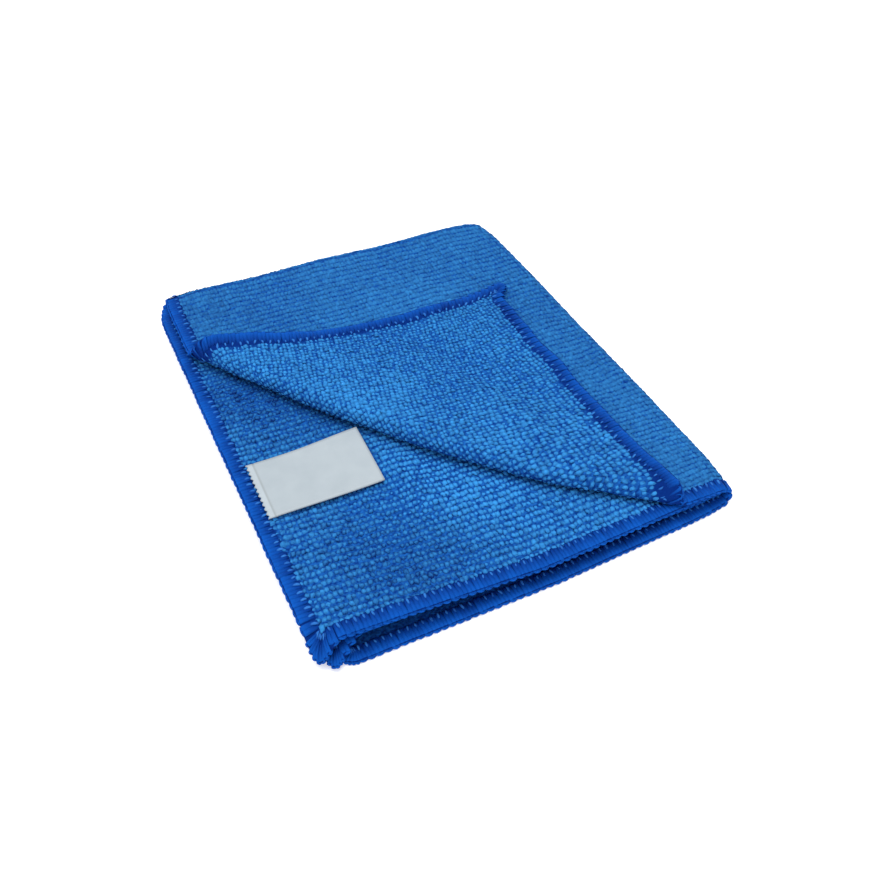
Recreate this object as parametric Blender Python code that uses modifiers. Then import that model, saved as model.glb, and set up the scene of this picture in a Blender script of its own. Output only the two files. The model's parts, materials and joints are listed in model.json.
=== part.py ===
# Microfibre cloth, folded in quarters with one corner turned back, and its sewn-in label.
#
# The cloth is one flat sheet with a thicker hem all round. It is folded twice: first front to
# back, then right under left, so that four layers lie on each other. Layer 1 is on top and
# layer 4 lies on the table. The free corner of layer 1 is rolled back along a diagonal.
#
# Lengths are in metres, +X to the right, +Y to the back, +Z up.

from collections import namedtuple
from math import copysign, cos, exp, hypot, pi, sin

import bmesh
import bpy
from mathutils import Vector

MM = 0.001

# The cut cloth
CUT_WIDTH = 320 * MM
CUT_DEPTH = 400 * MM
SHEET_THICKNESS = 1.4 * MM
HEM_THICKNESS = 1.8 * MM
HEM_WIDTH = 5.2 * MM
HEM_STEP = 1.0 * MM             # width of the slope from the hem's thickness to the sheet's
HEM_CORNER = 6.0 * MM           # radius of the cloth's rounded corners

# The two folds
PAIR_RADIUS = 1.6 * MM          # back fold, to the middle of the sheet
CORE_RADIUS = 2 * PAIR_RADIUS   # right fold, to the middle of the pair of layers
RIGHT_SIDE = 81.2 * MM          # outer side of the right fold
BACK_SIDE = 101.0 * MM          # outer side of the back fold
BACK_SKEW = 1.0 * MM            # how much further back the left end of the back fold lies

# The corner that is turned back: its fold runs from the left side to the front
TURN_LEFT_Y = 57 * MM
TURN_FRONT_X = 60 * MM
TURN_BULGE = 11 * MM            # how far the fold bows out beyond its straight chord
TURN_BULGE_SKEW = 0.35          # moves the bow's highest point towards the front
ROLL_RADIUS_LEFT = 3.0 * MM
ROLL_RADIUS_MIDDLE = 3.2 * MM
ROLL_RADIUS_FRONT = 1.8 * MM
ROLL_FRONT_SHARE = 0.7          # the roll's outermost line lies this many radii before its side
FLAP_REST = 2.3 * MM            # height of the turned corner above layer 1, middle to middle
FLAP_SETTLE = 38 * MM           # length in which the flap comes down from its roll
FLAP_GIVE = 85 * MM             # length in which the flap stretches to make up for the bow
FLAP_PULL_X = -4.6 * MM         # how far the turned corner's tip lies from where it would
FLAP_PULL_Y = 11 * MM           # if the cloth did not give
HEM_WAVE_REACH = 40 * MM        # how far a wave of the flap's hem runs into the flap
HEM_LIFT_REACH = 14 * MM
FLAP_FREE = 10 * MM             # distance from the roll at which those waves are full

# Broad, shallow unevenness of the loose layers, a wave each way that dies out at the free hems
SWELL_HEIGHT = 0.45 * MM
SWELL_LENGTH_X = 62 * MM
SWELL_LENGTH_Y = 80 * MM
SWELL_START_X = 2.1             # radians that the wave moves on from the lowest layer to the top
SWELL_START_Y = 0.7             # radians
SWELL_HEM_X = 26 * MM           # how far in from the hems the wave is full
SWELL_HEM_Y = 25 * MM

# The grid that the sheet is bent from
GRID_STEP = 12.8 * MM
BACK_FOLD_STEPS = 6
RIGHT_FOLD_STEPS = 8
ROLL_LINES = 11
ROLL_LINE_STEP = 1.55 * MM
ROLL_FIRST_LINE = -3.8 * MM
BOW_REACH_BEFORE = 33 * MM      # how far the grid follows the roll's bow, before and after it
BOW_REACH_AFTER = 44 * MM
SMALLEST_CELL = 0.5 * MM        # grid points closer than this are joined

# The label, sewn to the left hem of layer 2
LABEL_LENGTH = 42.5 * MM
LABEL_WIDTH = 28.0 * MM
LABEL_THICKNESS = 1.0 * MM
LABEL_X = -75.4 * MM            # left end, over the hem
LABEL_Y = -28.0 * MM            # middle
LABEL_TURN = 0.035              # radians, anticlockwise seen from above
LABEL_GAP = 0.3 * MM
LABEL_LIFT = 1.6 * MM           # how far its free end rises
LABEL_CELLS = 8

CLOTH_COLOUR = (0.030, 0.165, 0.480, 1)
LABEL_COLOUR = (0.520, 0.600, 0.650, 1)

# One row for each layer, from the table up. level is its place in the stack. The next four are
# the height of its middle at the corners of the stack. slide_* move its free sides from their
# even place, and tip_* say where its free corner at the front left ends.
Layer = namedtuple("Layer", "level back_left back_right front_left front_right "
                            "slide_x_back slide_x_front slide_y_left slide_y_middle slide_y_right "
                            "tip_x tip_y tip_z")
LAYERS = (
    Layer(0 / 3, 0.9, 0.9, 0.9, 0.9, -0.6, 7.0, -4.0, -3.7, -0.3, -70.6, -103.2, 0.9),
    Layer(1 / 3, 4.6, 3.7, 6.2, 2.9, -0.6, 0.4, 0.6, 0.9, 2.2, -76.2, -103.8, 2.0),
    Layer(2 / 3, 8.3, 6.7, 9.3, 5.6, -2.8, -1.7, 1.9, 1.6, 3.0, -80.4, -102.3, 5.0),
    Layer(3 / 3, 11.8, 9.6, 11.8, 7.6, 1.6, 1.6, 1.6, 1.6, 1.6, -77.0, -96.5, 11.8),
)
DROOP_REACH = 13 * MM           # size of the drooping corners
DROOP_POWER = 1.4               # above 1, the corner bends most near its tip

# Corners of the stack that are rounded off: side and end say which corner it is, cut_x and cut_y
# how far its point moves inwards, reach how far along the sides that shows.
StackCorner = namedtuple("StackCorner", "side end cut_x cut_y reach")
STACK_CORNERS = (
    StackCorner("right", "back", 2.4, 2.4, 20),
    StackCorner("left", "back", 3.6, 1.8, 19),
    StackCorner("right", "front", 0.0, 2.2, 20),
)

# How the flap's two hems leave their even place. along runs from the fold to the flap's tip,
# shift is towards the front for the back hem and towards the right for the right hem.
HemPlace = namedtuple("HemPlace", "along shift lift")
FLAP_BACK_HEM = (
    HemPlace(0.00, 0.0, 0.0),
    HemPlace(0.08, -1.0, 0.4),
    HemPlace(0.16, -2.8, 1.2),
    HemPlace(0.25, -5.4, 1.6),
    HemPlace(0.33, -1.0, 0.9),
    HemPlace(0.41, -0.8, 0.2),
    HemPlace(0.72, 1.0, 0.0),
    HemPlace(0.86, 2.2, 0.0),
    HemPlace(1.00, 0.0, 0.8),
)
FLAP_RIGHT_HEM = (
    HemPlace(0.00, 0.0, 0.0),
    HemPlace(0.20, 5.0, 0.0),
    HemPlace(0.40, 5.0, 0.4),
    HemPlace(0.60, 3.0, 0.3),
    HemPlace(0.76, -2.0, 0.0),
    HemPlace(0.90, -3.2, 0.0),
    HemPlace(1.00, 0.0, 0.8),
)

HALF_WIDTH = CUT_WIDTH / 2
HALF_DEPTH = CUT_DEPTH / 2
OUTER_RADIUS = CORE_RADIUS + PAIR_RADIUS
EVEN_LEFT = RIGHT_SIDE - OUTER_RADIUS - (HALF_WIDTH - pi / 2 * CORE_RADIUS)
EVEN_FRONT = BACK_SIDE - PAIR_RADIUS - (HALF_DEPTH - pi / 2 * PAIR_RADIUS)
TOP = LAYERS[3]
TOP_LEFT = EVEN_LEFT + TOP.slide_x_back * MM
TOP_FRONT = EVEN_FRONT + TOP.slide_y_left * MM
TURN_START = Vector((TOP_LEFT, TURN_LEFT_Y))
TURN_END = Vector((TURN_FRONT_X, TOP_FRONT))
TURN_LENGTH = (TURN_END - TURN_START).length
TURN_ALONG = (TURN_END - TURN_START).normalized()
TURN_OUT = Vector((TURN_ALONG.y, -TURN_ALONG.x))


def mix(a, b, share):
    return a + (b - a) * share


def clamp(value, low=0.0, high=1.0):
    return min(max(value, low), high)


def smooth(share):
    share = clamp(share)
    return share * share * (3 - 2 * share)


def hem_share(u, v):
    """1 on the hem, 0 on the sheet inside it."""
    inside = min(HALF_WIDTH - abs(u), HALF_DEPTH - abs(v))
    return clamp((HEM_WIDTH + HEM_STEP - inside) / HEM_STEP)


def round_corner(u, v):
    """Bring the points near a square corner of the flat cloth inside its rounded corner."""
    past_u = abs(u) - HALF_WIDTH + HEM_CORNER
    past_v = abs(v) - HALF_DEPTH + HEM_CORNER
    if min(past_u, past_v) <= 0:
        return u, v
    inwards = max(past_u, past_v) / hypot(past_u, past_v)
    return (copysign(HALF_WIDTH - HEM_CORNER + past_u * inwards, u),
            copysign(HALF_DEPTH - HEM_CORNER + past_v * inwards, v))


def fold_in_quarters(u, v):
    """A point of the flat cloth to its even place in the folded stack, and its level in it."""
    if abs(v) < pi / 2 * PAIR_RADIUS:
        back = PAIR_RADIUS * cos(v / PAIR_RADIUS)
        above = -PAIR_RADIUS * sin(v / PAIR_RADIUS)
    else:
        back = pi / 2 * PAIR_RADIUS - abs(v)
        above = PAIR_RADIUS if v < 0 else -PAIR_RADIUS
    radius = CORE_RADIUS + above
    if abs(u) < pi / 2 * CORE_RADIUS:
        right = radius * cos(u / CORE_RADIUS)
        height = -radius * sin(u / CORE_RADIUS)
    else:
        right = pi / 2 * CORE_RADIUS - abs(u)
        height = radius if u < 0 else -radius
    x = RIGHT_SIDE - OUTER_RADIUS + right
    y = BACK_SIDE - PAIR_RADIUS + back
    return x, y, (height + OUTER_RADIUS) / (2 * OUTER_RADIUS)


def across(x):
    """0 at the stack's left side, 1 at its right."""
    return clamp((x - EVEN_LEFT) / (RIGHT_SIDE - EVEN_LEFT))


def along(y):
    """0 at the stack's front, 1 at its back."""
    return clamp((y - EVEN_FRONT) / (BACK_SIDE - EVEN_FRONT))


def layer_height(layer, x, y):
    front = mix(layer.front_left, layer.front_right, across(x))
    back = mix(layer.back_left, layer.back_right, across(x))
    return mix(front, back, along(y)) * MM


def layer_slide(layer, x, y):
    leftward = 1 - across(x)
    forward = 1 - along(y)
    slide_x = mix(layer.slide_x_front, layer.slide_x_back, along(y)) * leftward
    if leftward > 0.5:
        slide_y = mix(layer.slide_y_middle, layer.slide_y_left, 2 * leftward - 1)
    else:
        slide_y = mix(layer.slide_y_right, layer.slide_y_middle, 2 * leftward)
    return slide_x * MM, slide_y * forward * MM


def between_layers(level, row_value):
    """Mix a value of the two rows of LAYERS that a level lies between."""
    place = clamp(level) * (len(LAYERS) - 1)
    below = min(int(place), len(LAYERS) - 2)
    low = row_value(LAYERS[below])
    high = row_value(LAYERS[below + 1])
    share = place - below
    return tuple(mix(a, b, share) for a, b in zip(low, high))


def swell(x, y, level):
    """Broad unevenness, none on the layer that lies on the table."""
    wave = (sin(2 * pi * x / SWELL_LENGTH_X + SWELL_START_X * level)
            * sin(2 * pi * y / SWELL_LENGTH_Y + SWELL_START_Y))
    inside = smooth((x - EVEN_LEFT) / SWELL_HEM_X) * smooth((y - EVEN_FRONT) / SWELL_HEM_Y)
    return SWELL_HEIGHT * wave * inside * smooth(level / LAYERS[2].level)


def droop(level, x, y):
    """Pull of the free front left corner of a layer towards its tip, for a point at x, y."""
    reach = hypot(x - EVEN_LEFT, y - EVEN_FRONT) / DROOP_REACH
    share = (1 - clamp(reach)) ** DROOP_POWER
    if share == 0 or level > (LAYERS[2].level + TOP.level) / 2:
        return 0, 0, 0

    def pull(layer):
        slide_x, slide_y = layer_slide(layer, EVEN_LEFT, EVEN_FRONT)
        return (layer.tip_x * MM - EVEN_LEFT - slide_x,
                layer.tip_y * MM - EVEN_FRONT - slide_y,
                layer.tip_z * MM - layer_height(layer, EVEN_LEFT, EVEN_FRONT))

    return tuple(share * value for value in between_layers(level, pull))


def corner_cut(x, y):
    """How the rounded corners of the stack move a point at x, y."""
    cut_x = cut_y = 0.0
    for corner in STACK_CORNERS:
        at_right = corner.side == "right"
        at_back = corner.end == "back"
        to_x = abs(x - (RIGHT_SIDE if at_right else EVEN_LEFT))
        to_y = abs(y - (BACK_SIDE if at_back else EVEN_FRONT))
        share = (1 - clamp(hypot(to_x, to_y) / (corner.reach * MM))) ** 2
        cut_x += share * corner.cut_x * MM * (-1 if at_right else 1)
        cut_y += share * corner.cut_y * MM * (-1 if at_back else 1)
    return cut_x, cut_y


def settle(x, y, level):
    """Even place in the stack to the real one: slides, heights, drooping and rounded corners."""
    slide_x, slide_y = between_layers(level, lambda layer: layer_slide(layer, x, y))
    height, = between_layers(level, lambda layer: (layer_height(layer, x, y),))
    pull_x, pull_y, pull_z = droop(level, x, y)
    cut_x, cut_y = corner_cut(x, y)
    skew = BACK_SKEW * (1 - across(x)) * along(y)
    return Vector((x + slide_x + pull_x + cut_x,
                   y + slide_y + pull_y + cut_y + skew,
                   height + pull_z + swell(x, y, level)))


def turn_place(x, y):
    """Distance along the diagonal chord, as a share of it, and distance beyond the chord."""
    offset = Vector((x, y)) - TURN_START
    return offset.dot(TURN_ALONG) / TURN_LENGTH, offset.dot(TURN_OUT)


def turn_bulge(share):
    share = clamp(share)
    return TURN_BULGE * 4 * share * (1 - share) * (1 + TURN_BULGE_SKEW * (2 * share - 1))


def roll_radius(share):
    share = clamp(share)
    if share < 0.5:
        return mix(ROLL_RADIUS_LEFT, ROLL_RADIUS_MIDDLE, smooth(2 * share))
    return mix(ROLL_RADIUS_MIDDLE, ROLL_RADIUS_FRONT, smooth(2 * share - 1))


def hem_place(rows, share):
    """Shift and lift of a hem at a share of its length, eased from row to row."""
    share = clamp(share)
    for low, high in zip(rows, rows[1:]):
        if share <= high.along:
            step = smooth((share - low.along) / (high.along - low.along))
            return mix(low.shift, high.shift, step) * MM, mix(low.lift, high.lift, step) * MM
    return rows[-1].shift * MM, rows[-1].lift * MM


def turn_corner_back(x, y):
    """Roll the free corner of layer 1 back. Gives the new place and the height above layer 1."""
    share, beyond = turn_place(x, y)
    radius = roll_radius(share)
    start = turn_bulge(share) - ROLL_FRONT_SHARE * radius
    past = beyond - start
    if past <= 0:
        return x, y, 0.0
    foot = TURN_START + TURN_ALONG * (share * TURN_LENGTH)
    if past < pi * radius:
        place = foot + TURN_OUT * (start + radius * sin(past / radius))
        return place.x, place.y, radius * (1 - cos(past / radius))
    back = past - pi * radius
    give = 2 * turn_bulge(share) * clamp(back / FLAP_GIVE)
    place = foot + TURN_OUT * (start - back - give)
    lift = mix(2 * radius, FLAP_REST, smooth(back / FLAP_SETTLE))

    # shares of the two free hems' lengths, from the fold to the tip
    down = (TURN_LEFT_Y - y) / (TURN_LEFT_Y - TOP_FRONT)
    left = (TURN_FRONT_X - x) / (TURN_FRONT_X - TOP_LEFT)
    pull = clamp(down + left - 1)
    to_back_hem = x - TOP_LEFT
    to_right_hem = y - TOP_FRONT
    back_shift, back_lift = hem_place(FLAP_BACK_HEM, down)
    right_shift, right_lift = hem_place(FLAP_RIGHT_HEM, left)
    back_fade = smooth(1 - to_back_hem / HEM_WAVE_REACH)
    right_fade = smooth(1 - to_right_hem / HEM_WAVE_REACH)
    free = smooth(back / FLAP_FREE)
    place.x += FLAP_PULL_X * pull + right_shift * right_fade * free
    place.y += FLAP_PULL_Y * pull - back_shift * back_fade * free
    lift += back_lift * exp(-to_back_hem / HEM_LIFT_REACH) * free
    lift += right_lift * exp(-to_right_hem / HEM_LIFT_REACH) * free * (1 - back_fade)
    return place.x, place.y, lift


def folded_point(u, v):
    """A point of the flat cloth to the middle of the folded sheet."""
    x, y, level = fold_in_quarters(*round_corner(u, v))
    lift = 0.0
    if u < 0 and v < 0 and level > 0.99:
        x, y = x + TOP.slide_x_back * MM, y + TOP.slide_y_left * MM * (1 - along(y))
        x, y, lift = turn_corner_back(x, y)
        x, y = x - TOP.slide_x_back * MM, y - TOP.slide_y_left * MM * (1 - along(y))
    point = settle(x, y, level)
    point.z += lift
    if level < 0.01:
        point.z = mix(SHEET_THICKNESS, HEM_THICKNESS, hem_share(u, v)) / 2
    return point


def cut_along(mesh, point, normal, faces=None):
    """Score the flat mesh along a line, without taking anything away."""
    faces = list(mesh.faces) if faces is None else faces
    edges = list({edge for face in faces for edge in face.edges})
    corners = list({corner for face in faces for corner in face.verts})
    bmesh.ops.bisect_plane(mesh, geom=corners + edges + faces, dist=1e-7,
                           plane_co=point, plane_no=normal)


def grid_lines(half, fold_radius, fold_steps):
    """Places of the lines across one direction of the flat cloth."""
    band = pi / 2 * fold_radius
    inner = half - HEM_WIDTH - HEM_STEP
    cells = round((inner - band) / GRID_STEP)
    side = [band + (inner - band) * cell / cells for cell in range(cells + 1)]
    side.append(half - HEM_WIDTH)
    fold = [band * (2 * step / fold_steps - 1) for step in range(1, fold_steps)]
    return [-place for place in side] + fold + side


def flat_cloth():
    """The flat cloth as one open sheet, scored wherever it will bend."""
    mesh = bmesh.new()
    bmesh.ops.create_grid(mesh, x_segments=1, y_segments=1, size=0.5)
    bmesh.ops.scale(mesh, vec=(CUT_WIDTH, CUT_DEPTH, 1), verts=mesh.verts)
    for place in grid_lines(HALF_WIDTH, CORE_RADIUS, RIGHT_FOLD_STEPS):
        cut_along(mesh, (place, 0, 0), (1, 0, 0))
    for place in grid_lines(HALF_DEPTH, PAIR_RADIUS, BACK_FOLD_STEPS):
        cut_along(mesh, (0, place, 0), (0, 1, 0))

    # lines along the diagonal roll, in the quarter that becomes layer 1
    to_flat = Vector((TOP_LEFT + HALF_WIDTH, TOP_FRONT + HALF_DEPTH))
    quarter = [face for face in mesh.faces
               if face.calc_center_median().x < -pi / 2 * CORE_RADIUS
               and face.calc_center_median().y < -pi / 2 * PAIR_RADIUS]
    for line in range(ROLL_LINES):
        place = TURN_START + TURN_OUT * (ROLL_FIRST_LINE + line * ROLL_LINE_STEP) - to_flat
        cut_along(mesh, place.to_3d(), TURN_OUT.to_3d(), quarter)
        quarter = [face for face in mesh.faces
                   if face.calc_center_median().x < -pi / 2 * CORE_RADIUS
                   and face.calc_center_median().y < -pi / 2 * PAIR_RADIUS]

    bmesh.ops.remove_doubles(mesh, verts=mesh.verts, dist=SMALLEST_CELL)

    # bow those lines as the roll bows
    band_end = ROLL_FIRST_LINE + (ROLL_LINES - 1) * ROLL_LINE_STEP
    for vert in mesh.verts:
        if vert.co.x > -pi / 2 * CORE_RADIUS or vert.co.y > -pi / 2 * PAIR_RADIUS:
            continue
        if min(vert.co.x + HALF_WIDTH, vert.co.y + HALF_DEPTH) < 1e-6:
            continue
        share, beyond = turn_place(vert.co.x + to_flat.x, vert.co.y + to_flat.y)
        before = smooth(1 + (beyond - ROLL_FIRST_LINE) / BOW_REACH_BEFORE)
        after = smooth(1 - (beyond - band_end) / BOW_REACH_AFTER)
        bow = TURN_OUT * turn_bulge(share) * min(before, after)
        vert.co += bow.to_3d()
    return mesh


def shell_object(name, mesh, thickness, thin_share, full, material, collection):
    """An open sheet made solid: full is each vertex's share of the full thickness."""
    data = bpy.data.meshes.new(name)
    mesh.to_mesh(data)
    mesh.free()
    data.materials.append(material)
    data.shade_smooth()
    shell = bpy.data.objects.new(name, data)
    collection.objects.link(shell)
    group = shell.vertex_groups.new(name="full thickness")
    for index, weight in enumerate(full):
        group.add([index], weight, "REPLACE")
    solid = shell.modifiers.new("Thickness", "SOLIDIFY")
    solid.thickness = thickness
    solid.offset = 0
    solid.vertex_group = group.name
    solid.thickness_vertex_group = thin_share
    return shell


def make_material(name, colour, roughness):
    material = bpy.data.materials.new(name)
    material.use_nodes = True
    shader = material.node_tree.nodes["Principled BSDF"]
    shader.inputs["Base Color"].default_value = colour
    shader.inputs["Roughness"].default_value = roughness
    shader.inputs["Metallic"].default_value = 0.0
    material.diffuse_color = colour
    return material


def make_cloth(collection):
    mesh = flat_cloth()
    full = [hem_share(vert.co.x, vert.co.y) for vert in mesh.verts]
    for vert in mesh.verts:
        vert.co = folded_point(vert.co.x, vert.co.y)
    bmesh.ops.triangulate(mesh, faces=mesh.faces)
    material = make_material("blue microfibre", CLOTH_COLOUR, 0.95)
    return shell_object("cloth", mesh, HEM_THICKNESS, SHEET_THICKNESS / HEM_THICKNESS,
                        full, material, collection)


def make_label(collection):
    """The label lies on layer 2, its left end over the hem, its free end a little raised."""
    mesh = bmesh.new()
    bmesh.ops.create_grid(mesh, x_segments=LABEL_CELLS, y_segments=LABEL_CELLS // 2, size=0.5)
    level = LAYERS[2].level
    above = HEM_THICKNESS / 2 + LABEL_GAP + LABEL_THICKNESS / 2
    for vert in mesh.verts:
        out = vert.co.x + 0.5
        side = vert.co.y
        x = LABEL_X + out * LABEL_LENGTH * cos(LABEL_TURN) - side * LABEL_WIDTH * sin(LABEL_TURN)
        y = LABEL_Y + out * LABEL_LENGTH * sin(LABEL_TURN) + side * LABEL_WIDTH * cos(LABEL_TURN)
        height, = between_layers(level, lambda layer: (layer_height(layer, x, y),))
        vert.co = (x, y, height + swell(x, y, level) + above + LABEL_LIFT * out ** 2)
    full = [1.0] * len(mesh.verts)
    material = make_material("satin ribbon", LABEL_COLOUR, 0.45)
    return shell_object("label", mesh, LABEL_THICKNESS, 1.0, full, material, collection)


def stand_on_origin(objects):
    """Move the parts so that the origin is under the middle of the whole."""
    graph = bpy.context.evaluated_depsgraph_get()
    places = [vertex.co.copy() for item in objects
              for vertex in item.evaluated_get(graph).data.vertices]
    low = [min(place[axis] for place in places) for axis in range(3)]
    high = [max(place[axis] for place in places) for axis in range(3)]
    foot = Vector(((low[0] + high[0]) / 2, (low[1] + high[1]) / 2, low[2]))
    for item in objects:
        for vertex in item.data.vertices:
            vertex.co -= foot
    print("moved by", [round(value / MM, 3) for value in -foot])


def main():
    for item in list(bpy.data.objects):
        bpy.data.objects.remove(item)
    collection = bpy.data.collections.new("microfibre cloth")
    bpy.context.scene.collection.children.link(collection)
    parts = [make_cloth(collection), make_label(collection)]
    stand_on_origin(parts)


main()
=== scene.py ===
import json
from collections import namedtuple
from math import copysign, cos, exp, hypot, pi, radians, sin

import bmesh
import bpy
from mathutils import Matrix, Vector, noise

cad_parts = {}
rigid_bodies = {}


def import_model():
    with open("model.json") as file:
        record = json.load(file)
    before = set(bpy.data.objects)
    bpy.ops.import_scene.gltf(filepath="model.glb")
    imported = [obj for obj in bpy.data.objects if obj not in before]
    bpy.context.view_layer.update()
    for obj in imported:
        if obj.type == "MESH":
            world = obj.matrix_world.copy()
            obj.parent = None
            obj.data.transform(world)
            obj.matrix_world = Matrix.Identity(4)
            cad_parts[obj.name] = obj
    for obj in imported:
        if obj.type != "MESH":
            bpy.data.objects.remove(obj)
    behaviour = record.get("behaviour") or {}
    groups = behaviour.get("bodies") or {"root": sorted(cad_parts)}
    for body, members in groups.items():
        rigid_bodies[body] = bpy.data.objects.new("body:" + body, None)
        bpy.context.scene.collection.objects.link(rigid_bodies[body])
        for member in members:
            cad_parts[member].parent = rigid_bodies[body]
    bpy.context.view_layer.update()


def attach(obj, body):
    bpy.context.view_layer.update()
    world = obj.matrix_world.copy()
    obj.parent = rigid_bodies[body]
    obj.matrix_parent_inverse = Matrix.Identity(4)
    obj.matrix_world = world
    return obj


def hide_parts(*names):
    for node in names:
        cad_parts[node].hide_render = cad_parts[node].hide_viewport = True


# Folded microfibre cloth: one sheet folded in quarters with a corner turned back, terry loops on
# both faces, overlocked hems and a sewn-in ribbon. Lengths are metres, mm is only a factor.

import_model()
mm = 0.001

# the cut cloth and its two folds, as in the solids
sheet = {
    "width": 320 * mm,
    "depth": 400 * mm,
    "hemWidth": 5.2 * mm,
    "hemStep": 1.0 * mm,
    "cornerRadius": 6.0 * mm,
    "pairRadius": 1.6 * mm,
    "rightSide": 81.2 * mm,
    "backSide": 101.0 * mm,
    "backSkew": 1.0 * mm,
    "shift": Vector((-0.433, -0.013, 0)) * mm,  # puts the stack over the frame's origin
}

# the corner that is rolled back
turn = {
    "leftY": 57 * mm,
    "frontX": 60 * mm,
    "bulge": 11 * mm,
    "bulgeSkew": 0.35,
    "radiusLeft": 3.0 * mm,
    "radiusMiddle": 3.2 * mm,
    "radiusFront": 1.8 * mm,
    "frontShare": 0.7,
    "rest": 2.3 * mm,
    "settle": 38 * mm,
    "give": 85 * mm,
    "pullX": -4.6 * mm,
    "pullY": 11 * mm,
    "waveReach": 40 * mm,
    "liftReach": 14 * mm,
    "curlReach": 4.5 * mm,
    "freeBack": 12 * mm,
    "freeRight": 9 * mm,
}

# one row for each layer, from the table up: heights at the corners, slides of the free sides,
# and where the drooping front left corner ends (mm)
Layer = namedtuple("Layer", "level backLeft backRight frontLeft frontRight "
                            "slideXBack slideXFront slideYLeft slideYMiddle slideYRight "
                            "tipX tipY tipZ tipReach")
layers = (
    Layer(0 / 3, 0.9, 0.9, 0.9, 0.9, -0.6, 6.0, -2.8, -3.3, -0.3, -72.6, -101.0, 0.9, 13),
    Layer(1 / 3, 4.6, 3.7, 6.2, 2.9, -0.6, 0.4, 3.6, 3.2, 3.4, -76.4, -103.8, 1.0, 14),
    Layer(2 / 3, 8.3, 6.7, 9.3, 5.6, -2.8, -1.7, 2.9, -0.6, 3.2, -80.6, -101.3, 1.0, 9),
    Layer(3 / 3, 11.8, 9.6, 11.8, 7.6, 1.6, 1.6, 1.6, 1.6, 1.6, -77.0, -96.5, 11.8, 9),
)
droopPower = 1.2

# where the stack's corners are cut short, and pressed flat as a share of their height
StackCorner = namedtuple("StackCorner", "side end part cutX cutY press reach")
stackCorners = (
    StackCorner("right", "back", "all", 2.4, 2.4, 0.0, 20),
    StackCorner("left", "back", "lower", 3.6, 3.4, 0.0, 19),
    StackCorner("left", "back", "top", 1.3, 1.8, 0.0, 16),
    StackCorner("right", "front", "all", 2.0, 1.4, 0.30, 24),
)

# how the two hems of the flap wander, from the fold to its tip (mm)
HemPlace = namedtuple("HemPlace", "along shift lift curl", defaults=(0.0, 0.0))
flapBackHem = (
    HemPlace(0.00, -3.0),
    HemPlace(0.06, -3.4, 0.3, 1.8),
    HemPlace(0.13, -3.4, 0.7, 2.4),
    HemPlace(0.22, -2.0, 0.9, 2.4),
    HemPlace(0.33, 0.4, 0.7, 1.8),
    HemPlace(0.41, -0.8, 0.2),
    HemPlace(0.72, 1.0),
    HemPlace(0.86, 2.2),
    HemPlace(1.00, 0.0, 0.8),
)
flapRightHem = (
    HemPlace(0.00, 5.0),
    HemPlace(0.06, 6.4),
    HemPlace(0.14, 6.6),
    HemPlace(0.25, 5.4, 0.2),
    HemPlace(0.40, 5.0, 0.4),
    HemPlace(0.60, 3.0, 0.3),
    HemPlace(0.76, -2.0),
    HemPlace(0.86, -4.2),
    HemPlace(0.93, -6.0, 0.2),
    HemPlace(1.00, 0.0, 0.8),
)

# soft creases, each along its own line in the folded cloth (mm), raised or sunk
Crease = namedtuple("Crease", "part path height halfWidth")
creases = (
    Crease("second", ((-27, -18), (-20, -51), (-10, -86)), 1.00, 6.5),
    Crease("second", ((-62, -12), (-48, -60)), -0.60, 8.0),
    Crease("flap", ((12.6, 36.7), (18.3, 0.7), (40, -37)), -0.90, 6.0),
    Crease("flap", ((-1.8, 24.8), (22.7, -24.9), (34.2, -77.5)), 0.90, 6.0),
    Crease("top", ((-66, 84), (-50, 74)), -0.60, 7.0),
)

halfWidth = sheet["width"] / 2
halfDepth = sheet["depth"] / 2
pairRadius = sheet["pairRadius"]
coreRadius = 2 * pairRadius
outerRadius = coreRadius + pairRadius
sideBend = pi / 2 * coreRadius      # how far each fold reaches over the flat cloth
backBend = pi / 2 * pairRadius
evenLeft = sheet["rightSide"] - outerRadius - (halfWidth - sideBend)
evenFront = sheet["backSide"] - pairRadius - (halfDepth - backBend)
top = layers[3]
topLeft = evenLeft + top.slideXBack * mm
topFront = evenFront + top.slideYLeft * mm
turnStart = Vector((topLeft, turn["leftY"]))
turnEnd = Vector((turn["frontX"], topFront))
turnLength = (turnEnd - turnStart).length
turnAlong = (turnEnd - turnStart).normalized()
turnOut = Vector((turnAlong.y, -turnAlong.x))


def mix(a, b, share):
    return a + (b - a) * share


def clamp(value, low=0.0, high=1.0):
    return min(max(value, low), high)


def smooth(share):
    share = clamp(share)
    return share * share * (3 - 2 * share)


def hemShare(u, v):
    inside = min(halfWidth - abs(u), halfDepth - abs(v))
    return clamp((sheet["hemWidth"] + sheet["hemStep"] - inside) / sheet["hemStep"])


def cornerMoved(u, v, outwards=False):
    # from a square corner onto the rounded one, or outwards from the rounded one
    pastU = abs(u) - halfWidth + sheet["cornerRadius"]
    pastV = abs(v) - halfDepth + sheet["cornerRadius"]
    if min(pastU, pastV) <= 0:
        return u, v
    straight, slanting = max(pastU, pastV), hypot(pastU, pastV)
    ratio = slanting / straight if outwards else straight / slanting
    return (copysign(halfWidth - sheet["cornerRadius"] + pastU * ratio, u),
            copysign(halfDepth - sheet["cornerRadius"] + pastV * ratio, v))


def inTopQuarter(u, v):
    return u <= -sideBend and v <= -backBend


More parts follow.
